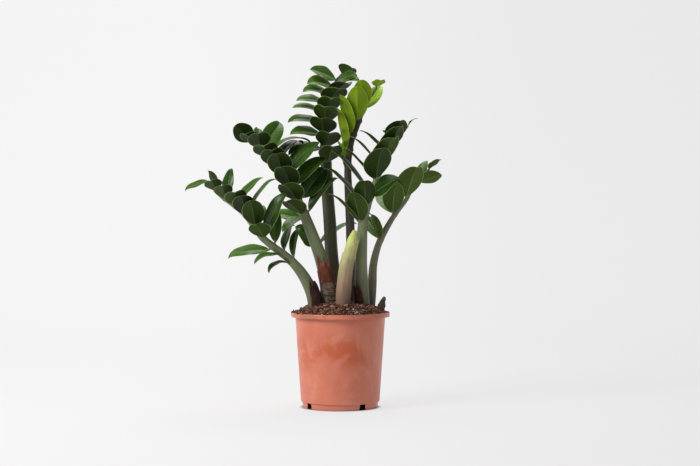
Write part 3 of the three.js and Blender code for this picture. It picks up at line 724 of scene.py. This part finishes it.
def add_blade(mesh, origin, leaf, rnd):
    """Blade with a folded, wavy face, a grooved midrib and an underside of its own colour."""
    across, out, normal, bend = directions(leaf)
    fold = math.tan(math.radians(BLADE_FOLD + rnd.uniform(-FOLD_SPREAD, FOLD_SPREAD)))
    curl = math.radians(rnd.uniform(*TIP_CURL))
    waves, phases = rnd.uniform(1.2, 2.2), [rnd.uniform(0, TAU), rnd.uniform(0, TAU)]
    height = rnd.uniform(0.25, 0.9)
    lean = rnd.uniform(-0.05, 0.05)
    reach, wide = leaf["length"], 0.5 * leaf["width"]
    tone = min(max(0.5 + rnd.gauss(0, 0.27), 0), 1)
    top, under, uv = [], [], []
    spot, last_s, last_angle = origin, 0.0, 0.0
    for s in STATIONS:
        # the blade droops evenly and its tip hooks down
        angle = bend * s + curl * max(0, (s - 0.6) / 0.4) ** 2
        middle = (angle + last_angle) / 2
        spot = spot + (s - last_s) * reach * (math.cos(middle) * out - math.sin(middle) * normal)
        last_s, last_angle = s, angle
        n = math.cos(angle) * normal + math.sin(angle) * out
        centre = spot + across * (lean * reach * s * s)
        h = wide * half_width(s)
        upper_row, lower_row = [], []
        for q in COLUMNS:
            x = q * h
            lift = abs(x) * fold - 0.45 * x * x / wide * fold
            phase = phases[0 if q > 0 else 1]
            ripple = height * q * q * math.sin(TAU * waves * s + phase) * math.sin(math.pi * s)
            thick = 0.3 + 0.35 * (1 - q * q) + 0.5 * bell(x, 0, 1.3) * (1 - 0.75 * s)
            groove = 0.45 * bell(x, 0, 1.0) * (1 - 0.6 * s)
            p = centre + across * x + n * (lift + ripple)
            upper_row.append(p + n * (0.5 * thick - groove))
            lower_row.append(p - n * (0.5 * thick + 0.4 * groove))
        top.append(upper_row)
        under.append(lower_row)
        uv.append([(s, 0.5 + 0.5 * q) for q in COLUMNS])
    a = mesh.grid(top, uv, 0, tone, flip=True)
    b = mesh.grid(under, uv, 1, tone)
    mesh.close_rim(a, b, uv, 1)


def add_leaf_foot(mesh, at, side, along, radius, leaf):
    """Short swollen foot between the stalk and the blade."""
    _, out, normal, _ = directions(leaf)
    start = at + side * (radius * 0.55)
    joint = at + side * (radius + BLADE_OFFSET)
    end = joint + out * (0.1 * leaf["length"])
    rings = []
    for t in (0, 0.25, 0.5, 0.75, 1):
        centre = (1 - t) ** 2 * start + 2 * t * (1 - t) * joint + t * t * end
        direction = unit((1 - t) * (joint - start) + t * (end - joint))
        e1 = unit(np.cross(direction, along + 1e-3))
        e2 = np.cross(direction, e1)
        r = float(np.interp(t, [0, 0.4, 1], [2.5, 1.9, 0.7])) * min(1, 0.55 + 0.06 * radius)
        turns = np.linspace(0, TAU, 10, endpoint=False)
        rings.append([around(centre, e1, e2, r, a) for a in turns])
    mesh.tube(rings, 2, 0.5)


def attachment(frond, u, leaf):
    """Where a leaflet leaves the stalk: the side of the stalk that it grows towards."""
    at, along, _, _ = spine(frond["path"], u)
    _, out, normal, _ = directions(leaf)
    side = out - along * np.dot(out, along)
    if np.linalg.norm(side) < 0.15:
        side = normal - along * np.dot(normal, along)
    return at, along, unit(side)


def pair_position(frond, k):
    """Share of the stalk's length below pair k."""
    pairs = len(frond["near"]["length"])
    return frond["first"] + (frond["last"] - frond["first"]) * k / (pairs - 1)


# ---- fronds ---------------------------------------------------------------------------


def stalk_mesh(frond, look, rnd):
    """Stalk with a knot at each pair of leaflets and, in some, a swollen and lumpy foot."""
    mesh = Builder()
    knots = [pair_position(frond, k) for k in range(len(frond["near"]["length"]))]
    us = list(np.linspace(-0.45, 0, 8)) + list(np.linspace(0, 1, 110))[1:]
    seed = Vector((rnd.uniform(0, 50), rnd.uniform(0, 50), 0))
    rings = []
    for u in us:
        at, _, e1, e2 = spine(frond["path"], u)
        r = stalk_radius(frond, u)
        r += look["knot"] * sum(bell(u, k, 0.010) for k in knots)
        r += look["swell"] * bell(u, 0.06, 0.05)
        lumpy = look["lumps"] * bell(u, 0.05, 0.05)
        row = []
        for a in np.linspace(0, TAU, STALK_SIDES, endpoint=False):
            x, y = math.cos(a), math.sin(a)
            uneven = noise.noise(seed + Vector((2.2 * x, 2.2 * y, 9 * u)))
            lump = lumpy * noise.noise(seed + Vector((3 * x, 3 * y, 30 * u)))
            row.append(around(at, e1, e2, r * (1 + 0.035 * uneven) + lump, a))
        rings.append(row)
    tip_at, along, _, _ = spine(frond["path"], 1)
    rings.append([tip_at + along * 0.8 + 0.45 * (p - tip_at) for p in rings[-1]])
    mesh.tube(rings, lengths=[max(u, 0) for u in us] + [1])
    return mesh


# dark, light, rib and pale edge (partly painted highlight): first of the upper side, then of the
# underside
LEAF_COLOURS = {
    "dark": [
        (0.005, 0.022, 0.002), (0.048, 0.130, 0.006), (0.11, 0.17, 0.04), (0.24, 0.32, 0.10),
        (0.011, 0.026, 0.004), (0.046, 0.082, 0.012), (0.10, 0.14, 0.045), (0.24, 0.31, 0.10),
    ],
    "mid": [
        (0.010, 0.044, 0.002), (0.066, 0.160, 0.007), (0.18, 0.26, 0.06), (0.30, 0.40, 0.12),
        (0.020, 0.048, 0.004), (0.075, 0.122, 0.014), (0.15, 0.21, 0.06), (0.28, 0.37, 0.12),
    ],
    "young": [
        (0.120, 0.250, 0.005), (0.340, 0.520, 0.014), (0.38, 0.52, 0.06), (0.45, 0.58, 0.10),
        (0.130, 0.230, 0.008), (0.290, 0.420, 0.020), (0.34, 0.45, 0.06), (0.43, 0.55, 0.10),
    ],
}
# skin, flecks and foot
STALK_COLOURS = {
    "green": [(0.170, 0.205, 0.100), (0.060, 0.074, 0.036), (0.090, 0.070, 0.042)],
    "dark": [(0.064, 0.072, 0.034), (0.018, 0.020, 0.010), (0.060, 0.046, 0.030)],
    "purple": [(0.062, 0.045, 0.034), (0.018, 0.012, 0.010), (0.050, 0.036, 0.026)],
    "brown": [(0.160, 0.150, 0.092), (0.055, 0.050, 0.030), (0.080, 0.060, 0.040)],
}
GREENS, UNDERS, STALKS = {}, {}, {}
for kind, colours in LEAF_COLOURS.items():
    GREENS["leaf_" + kind] = leaf_paint(kind + " leaf", *colours[:4])
for kind, colours in LEAF_COLOURS.items():
    UNDERS["leaf_" + kind] = leaf_paint(kind + " leaf under", *colours[4:], under=True)
for kind, colours in STALK_COLOURS.items():
    STALKS["stalk_" + kind] = stalk_paint(kind + " stalk", *colours, painted_shade_above=kind == "dark")

# how far the knots of a stalk stand out, and how swollen and lumpy its foot is
PLAIN = dict(knot=0.5, swell=0, lumps=0)
LOOKS = {
    "left_high": dict(swell=2.0, lumps=2.4),
    "young": dict(knot=1.6),
    "tall": dict(knot=0.7),
}

for number, frond in enumerate(FRONDS):
    rnd = random.Random(100 + number)
    name = frond["name"]
    look = {**PLAIN, **LOOKS.get(name, {})}
    stalk = stalk_mesh(frond, look, rnd).object(name + "_stem", [STALKS[frond["stalk"]]])
    piece(stalk, frond["stalk"], name + "_stalk")
    paints = [GREENS[frond["leaf"]], UNDERS[frond["leaf"]], STALKS[frond["stalk"]]]
    for k in range(len(frond["near"]["length"])):
        mesh = Builder()
        u = pair_position(frond, k)
        radius = stalk_radius(frond, u)
        for row in ("near", "far"):
            leaf = {key: values[k] for key, values in frond[row].items()}
            at, along, side = attachment(frond, u, leaf)
            add_blade(mesh, at + side * (radius + BLADE_OFFSET), leaf, rnd)
            add_leaf_foot(mesh, at, side, along, radius, leaf)
        pair = mesh.object(f"{name}_pair_{k + 1}", paints)
        piece(pair, frond["leaf"], f"{name}_leaflets_{k + 1}")
    mesh = Builder()
    add_blade(mesh, spline(frond["path"], 1), frond["tip"], rnd)
    piece(mesh.object(name + "_end_leaflet", paints), frond["leaf"])

# ---- new shoot, side shoot and dried sheaths ------------------------------------------

ANGLES = np.linspace(0, TAU, 40, endpoint=False)


def ring(points, u, r, lump, seed, flat=1.0):
    """Lumpy ring of points round a curve, flattened in one direction."""
    at, _, e1, e2 = spine(points, u)
    row = []
    for a in ANGLES:
        n = wobble(2 * math.cos(a) + seed, 2 * math.sin(a), 8 * u)
        row.append(at + (r + lump * n) * (math.cos(a) * e1 + flat * math.sin(a) * e2))
    return row


mesh = Builder()
us = list(np.linspace(SHOOT_FOOT, 1, 46))
rings = [ring(SPEAR["path"], u, blend(SPEAR["radius"], u), lump=0.5, seed=3) for u in us]
mesh.tube(rings, lengths=us)
piece(mesh.object("shoot_spear", [spear_paint()]), "shoot_tip", "new_shoot")

# sleeve: out over the mouth and back down inside it
mouth = np.array(SPEAR["mouth"], float)
tilt = math.radians(SPEAR["tilt"])
mouth_normal = np.array([-math.sin(tilt), 0, math.cos(tilt)])


def sleeve_point(u, a, inset):
    """Point of the ribbed sleeve, inset from its outer skin."""
    at, _, e1, e2 = spine(SPEAR["path"], u)
    n = wobble(2.4 * math.cos(a), 2.4 * math.sin(a), 7 * u)
    rib = 0.25 * math.sin(7 * a + 1.3)
    return around(at, e1, e2, blend(SPEAR["sleeve"], u) + 0.5 * n + rib - inset, a)


def sleeve_top(a):
    """How far up the sleeve goes on one side, to its slanting and slightly ragged mouth."""
    low, high = 0.3, 0.99
    for _ in range(30):
        u = (low + high) / 2
        if np.dot(sleeve_point(u, a, 0) - mouth, mouth_normal) < 0:
            low = u
        else:
            high = u
    return low + 0.008 * wobble(3 * math.cos(a), 3 * math.sin(a), 4)


mesh = Builder()
tops = [(a, sleeve_top(a)) for a in ANGLES]
levels = list(np.linspace(0, 1, 50))
rings = [[sleeve_point(SHOOT_FOOT + (t - SHOOT_FOOT) * v, a, 0) for a, t in tops] for v in levels]
rings.append([sleeve_point(t + 0.004, a, 0.7) for a, t in tops])
for v in np.linspace(0, 1, 8):
    rings.append([sleeve_point(t - 0.12 * v, a, SLEEVE_WALL) for a, t in tops])
mesh.tube(rings, lengths=levels + [1.0] * 9)
piece(mesh.object("shoot_sleeve", [sleeve_paint()]), "shoot_sheath", "new_shoot_sheath")

mesh = Builder()
us = list(np.linspace(0.3, 1, 30))
rings = []
for u in us:
    r = blend(SPROUT["radius"], u) * (1 if u < 0.97 else 0.8)
    rings.append(ring(SPROUT["path"], u, r, lump=1.2, seed=11, flat=0.8))
mesh.tube(rings, tone=0.4, lengths=us)
stub_skin = scale_paint(
    "stub skin", (0.035, 0.022, 0.016), (0.17, 0.12, 0.085), (0.34, 0.27, 0.20)
)
piece(mesh.object("side_shoot_stub", [stub_skin]), "shoot_sheath", "side_sprout")


def scale_point(sheath, frond, v, w, inset):
    """Point of a dried sheath: v from its foot (0) to its tip (1), w across it (-1 to 1)."""
    seed = sheath["seed"]
    v = v * (0.84 + (0.34 * wobble(2.6 * w, seed, 0) + 0.12 * wobble(9 * w, seed, 3)))
    u = sheath["start"] + (sheath["end"] - sheath["start"]) * v
    at, _, e1, e2 = spine(frond["path"], u)
    a = math.radians(sheath["side"]) + w * math.radians(blend(sheath["cover"], v) / 2)
    crinkle = max(0, 1 - 2 * v) * 2.2 * wobble(3 * w, 7 * v, seed + 8)
    crinkle += 0.9 * wobble(6 * w, 5 * v, seed) + 0.35 * wobble(18 * w, 9 * v, seed + 5)
    r = stalk_radius(frond, u) + blend(sheath["flare"], v)
    r += 0.9 + crinkle * (0.3 + v) + 1.2 * w * w * v - inset
    return around(at, e1, e2, r, a)


# dark, light and frayed edge, and for the widest one a corky foot
SCALES = {
    "crown_sheath": scale_paint(
        "red scale",
        (0.060, 0.020, 0.013), (0.36, 0.100, 0.052), (0.40, 0.20, 0.13), (0.25, 0.165, 0.12),
    ),
    "left_sheath": scale_paint(
        "dark scale", (0.022, 0.010, 0.008), (0.110, 0.042, 0.030), (0.20, 0.10, 0.07)
    ),
    "right_sheath": scale_paint(
        "brown scale", (0.026, 0.011, 0.008), (0.170, 0.060, 0.038), (0.24, 0.12, 0.08)
    ),
}
vs, ws = np.linspace(-0.12, 1, 44), np.linspace(-1, 1, 30)
uv = [[(v, 0.5 + 0.5 * w) for w in ws] for v in vs]
for sheath in SHEATHS:
    frond = next(f for f in FRONDS if f["name"] == sheath["frond"])
    mesh = Builder()
    sheets = []
    for inset, flip in ((0, False), (SCALE_WALL, True)):
        points = [[scale_point(sheath, frond, v, w, inset) for w in ws] for v in vs]
        sheets.append(mesh.grid(points, uv, flip=flip))
    front, back = sheets
    mesh.close_rim(back, front, uv, 0)
    scale = mesh.object(sheath["name"] + "_scale", [SCALES[sheath["name"]]])
    piece(scale, sheath["slot"], sheath["name"])

# ---- pot ------------------------------------------------------------------------------


def rounded(profile, radius, steps=4):
    """The profile with each inner corner rounded by up to the radius."""
    out = [profile[0]]
    for a, b, c in zip(profile, profile[1:], profile[2:]):
        a, b, c = (np.array(p, float) for p in (a, b, c))
        before, after = np.linalg.norm(a - b), np.linalg.norm(c - b)
        cut = min(radius, 0.45 * before, 0.45 * after)
        p, q = b + (a - b) / before * cut, b + (c - b) / after * cut
        for i in range(steps + 1):
            t = i / steps
            out.append(tuple((1 - t) ** 2 * p + 2 * t * (1 - t) * b + t * t * q))
    return out + [profile[-1]]


inside = POT["body_top"] - 2.1  # radius of the wall's inner side, just under the lip
h, lip, rim = POT["height"], POT["lip_height"], POT["rim"]
pot_profile = [
    (0, 0),
    (POT["pad"], 0),
    (POT["pad"] + 1.5, POT["floor_under"]),
    (POT["ring_inner"] - 1.2, POT["floor_under"]),
    (POT["ring_inner"], 0),
    (POT["foot_radius"] - 0.3, 0),
    (POT["foot_radius"] + 0.4, POT["foot_height"] - 0.8),
    (POT["body_bottom"], POT["foot_height"] + 0.8),
    (POT["body_top"], h - lip - 0.3),
    (rim - 2.2, h - 2.6),
    (rim - 1.6, h - 3),
    (rim - 1.6, h - lip),
    (rim - 0.3, h - lip),
    (rim, h - 0.6),
    (rim - 0.4, h),
    (POT["lip_inner"] + 0.8, h),
    (POT["lip_inner"] + 0.3, h - 0.7),
    (inside, h - lip + 0.1),
    (POT["body_bottom"] - POT["wall"], POT["foot_height"] + 0.8),
    (POT["foot_radius"] - POT["wall"], POT["floor"]),
    (0, POT["floor"]),
]


def turned(name, profile, material, segments=192):
    """A profile from axis to axis, turned into a closed mesh."""
    mesh = Builder()
    angles = np.linspace(0, TAU, segments, endpoint=False)
    rows = [[polar(r, a, z) for a in angles] for r, z in profile[1:-1]]
    uv = [[(i / len(rows), j / segments) for j in range(segments + 1)] for i in range(len(rows))]
    start = mesh.grid(rows, uv, 0, close=True)
    for row, (_, z), turn in ((0, profile[0], -1), (len(rows) - 1, profile[-1], 1)):
        centre = len(mesh.verts)
        mesh.verts.append(np.array([0, 0, z], float))
        mesh.tones.append(0.5)
        base = start + row * segments
        for j in range(segments):
            k = (j + 1) % segments
            loop = [centre, base + j, base + k] if turn > 0 else [centre, base + k, base + j]
            mesh.face(loop, [(0.5, 0.5)] * 3, 0)
    return mesh.object(name, [material])


pot = turned("nursery_pot", rounded(pot_profile, CORNER), pot_paint())

# the drain notches, each cut by a wedge that is drawn from its back to its front
half_bottom, half_top, tall = DRAINS["bottom"] / 2, DRAINS["top"] / 2, DRAINS["height"]
wedge = (-half_bottom, -1), (half_bottom, -1), (half_top, tall), (-half_top, tall)
cutters = []
for angle in DRAINS["angles"]:
    mesh = Builder()
    turn = Matrix.Rotation(math.radians(angle), 3, "Z")
    ends = 9 - POT["foot_radius"], -5 - POT["foot_radius"]
    mesh.tube([[np.array(turn @ Vector((x, y, z))) for x, z in wedge] for y in ends])
    cutter = mesh.object(f"notch_{angle % 360}", [], smooth=False)
    cutters.append(cutter)
    cut = pot.modifiers.new("drain", "BOOLEAN")
    cut.object, cut.operation, cut.solver = cutter, "DIFFERENCE", "EXACT"
graph = bpy.context.evaluated_depsgraph_get()
shaped = bpy.data.meshes.new_from_object(pot.evaluated_get(graph))
pot.modifiers.clear()
pot.data = shaped
for cutter in cutters:
    bpy.data.objects.remove(cutter)
pot.data.set_sharp_from_angle(angle=math.radians(38))
piece(pot, "pot_plastic", "pot")

# ---- soil -----------------------------------------------------------------------------

SOIL_R, SOIL_Z = zip(*SOIL_TOP[::-1])


def soil_height(x, y):
    """Height of the bumpy soil, or of the pot's lip beyond it."""
    r = math.hypot(x, y)
    if r > 80:  # on the lip of the pot
        return POT["height"] - 0.1
    z = float(np.interp(r, SOIL_R, SOIL_Z))
    bumps = sum(
        height * noise.noise(Vector((x, y, layer)) * scale)
        for height, layer, scale in ((1.7, 0, 0.055), (1.2, 9, 0.16), (0.8, 4, 0.42))
    )
    return z + bumps * min(1, (79.5 - r) / 8) if r < 79.5 else z


def settle(x, y, lift=0):
    return np.array([x, y, soil_height(x, y) + lift])


peat = soil_paint()
mesh = Builder()
angles = np.linspace(0, TAU, 150, endpoint=False)
rows = [[settle(*level(r, a)) for a in angles] for r in np.linspace(1.2, 78.9, 60)]
below = [  # drawn in near the floor, to leave the drain notches open
    (inside - 0.3, h - lip + 0.2),
    (POT["body_bottom"] - POT["wall"], 24),
    (54, 15),
    (50, POT["floor"] + 0.3),
    (2.0, POT["floor"] + 0.3),
]
rows += [[polar(r, a, z) for a in angles] for r, z in below]
mesh.tube(rows[::-1], tone=0.35)
piece(mesh.object("soil_bed", [peat]), "potting_soil", "potting_soil")


def scatter(name, material, count, size, seed, tones, area, flat=0.7):
    """Lumps of mostly small size laid on the soil, half sunk, each turned its own way."""
    mesh = Builder()
    rnd = random.Random(seed)
    for _ in range(count):
        x, y = area(rnd)
        s = size[0] + (size[1] - size[0]) * rnd.random() ** 2.2
        long = s * rnd.uniform(0.9, 1.9)
        rot = Matrix.Rotation(rnd.uniform(0, TAU), 3, "Z")
        for axis in "XY":
            rot = rot @ Matrix.Rotation(rnd.gauss(0, 0.5), 3, axis)
        at = settle(x, y, rnd.uniform(-0.1, 0.75) * s * flat)
        shape = long, s, s * flat * rnd.uniform(0.5, 1)
        mesh.blob(at, shape, rot, 0, rnd.uniform(*tones), rnd)
    return piece(mesh.object(name, [material], smooth=False), "potting_soil")


def anywhere(rnd):
    return level(77.5 * math.sqrt(rnd.random()), rnd.uniform(0, TAU))


def on_lip(rnd):
    """Spilled on the lip, mostly on one side."""
    r = rnd.uniform(79, 84.4)
    return level(r, rnd.gauss(math.pi, 0.7) if rnd.random() < 0.6 else rnd.uniform(0, TAU))


def in_front(rnd):
    """Half of them together near the front rim, the others anywhere."""
    if rnd.random() < 0.5:
        return rnd.gauss(28, 9), rnd.gauss(-62, 5)
    return anywhere(rnd)


scatter("soil_crumbs", peat, 3600, size=(0.8, 3.0), seed=1, tones=(0.05, 1.0), area=anywhere)
scatter("bark_chips", peat, 230, size=(2.0, 4.4), seed=2, tones=(0.3, 1.0), area=anywhere, flat=0.5)
scatter("rim_crumbs", peat, 420, size=(0.4, 1.7), seed=6, tones=(0.05, 0.9), area=on_lip)
perlite = perlite_paint()
scatter("perlite_grains", perlite, 26, size=(0.8, 1.9), seed=4, tones=(0.5, 1.0), area=in_front)

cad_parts["rhizome"].data.materials.clear()
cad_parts["rhizome"].data.materials.append(rhizome_paint())

# ---- stage: seamless pale sweep, soft light, camera -----------------------------------


def backdrop():
    """White paper that glows a little, more so at the back and on the left."""
    p = Paint("paper sweep")
    x, y, _ = p.split(p.place())
    across, back = p.smooth(x, -0.6, 0.7, 0.72, 0.65), p.smooth(y, 0.1, 2.5, 1.0, 1.115)
    glow = p.times(across, back)
    # no glow in the shade under the pot
    radius = p.node("VectorMath", out=1, operation="LENGTH", inputs={0: p.place()})
    glow = p.times(glow, p.smooth(radius, 0.060, 0.073))
    p.put(p.shader.inputs["Emission Strength"], glow)
    glowing = dict(Specular_IOR_Level=0.0, Emission_Color=(1.0, 0.99, 1.0, 1))
    return p.finish((0.14, 0.14, 0.14), 0.95, None, **glowing)


mesh = Builder()
front, bend, radius, top, half_width_of_sweep = -4200, 1500, 1200, 3600, 3800
sweep = [(front, 0), (-500, 0), (bend, 0)]
for t in np.linspace(0.1, math.pi / 2, 14):
    sweep.append((bend + radius * math.sin(t), radius - radius * math.cos(t)))
sweep.append((bend + radius, top))
xs = np.linspace(-half_width_of_sweep, half_width_of_sweep, 9)
rows = [[np.array([x, y, z]) for x in xs] for y, z in sweep]
uv = [[(i / len(rows), j / 9) for j in range(9)] for i in range(len(rows))]
mesh.grid(rows, uv, 0, flip=True)
mesh.object("sweep", [backdrop()])

world = bpy.data.worlds.new("studio")
bpy.context.scene.world = world
world.use_nodes = True
world.node_tree.nodes["Background"].inputs[0].default_value = (1.0, 0.99, 0.97, 1)
world.node_tree.nodes["Background"].inputs[1].default_value = 0.24


def softbox(name, place, aim, size, power, color):
    light = bpy.data.lights.new(name, "AREA")
    light.shape, light.size, light.size_y = "RECTANGLE", *size
    light.energy, light.color = power, color
    thing = bpy.data.objects.new(name, light)
    thing.location = place
    thing.rotation_euler = (Vector(aim) - Vector(place)).to_track_quat("-Z", "Y").to_euler()
    bpy.context.collection.objects.link(thing)


softbox("key", (-1.7, -1.3, 1.7), (0, 0, 0.3), (1.1, 1.1), 58, (1.0, 0.985, 0.95))
softbox("side", (-2.3, -0.7, 0.55), (0, 0, 0.2), (0.8, 1.5), 12, (1.0, 0.99, 0.97))
softbox("fill", (2.0, -1.8, 1.0), (0, 0, 0.3), (1.6, 1.6), 5, (0.97, 0.98, 1.0))
softbox("top", (0.1, 0.5, 2.1), (0, 0, 0.3), (1.3, 1.3), 30, (1.0, 0.99, 0.96))

lens = bpy.data.cameras.new("camera")
lens.sensor_width = 36
lens.lens = 82.3
camera = bpy.data.objects.new("camera", lens)
camera.location = (0.0167, -2.75, 0.335)
camera.rotation_euler = (math.radians(90 - 0.75), 0, 0)
bpy.context.collection.objects.link(camera)
bpy.context.scene.camera = camera
bpy.context.scene.view_settings.view_transform = "Standard"
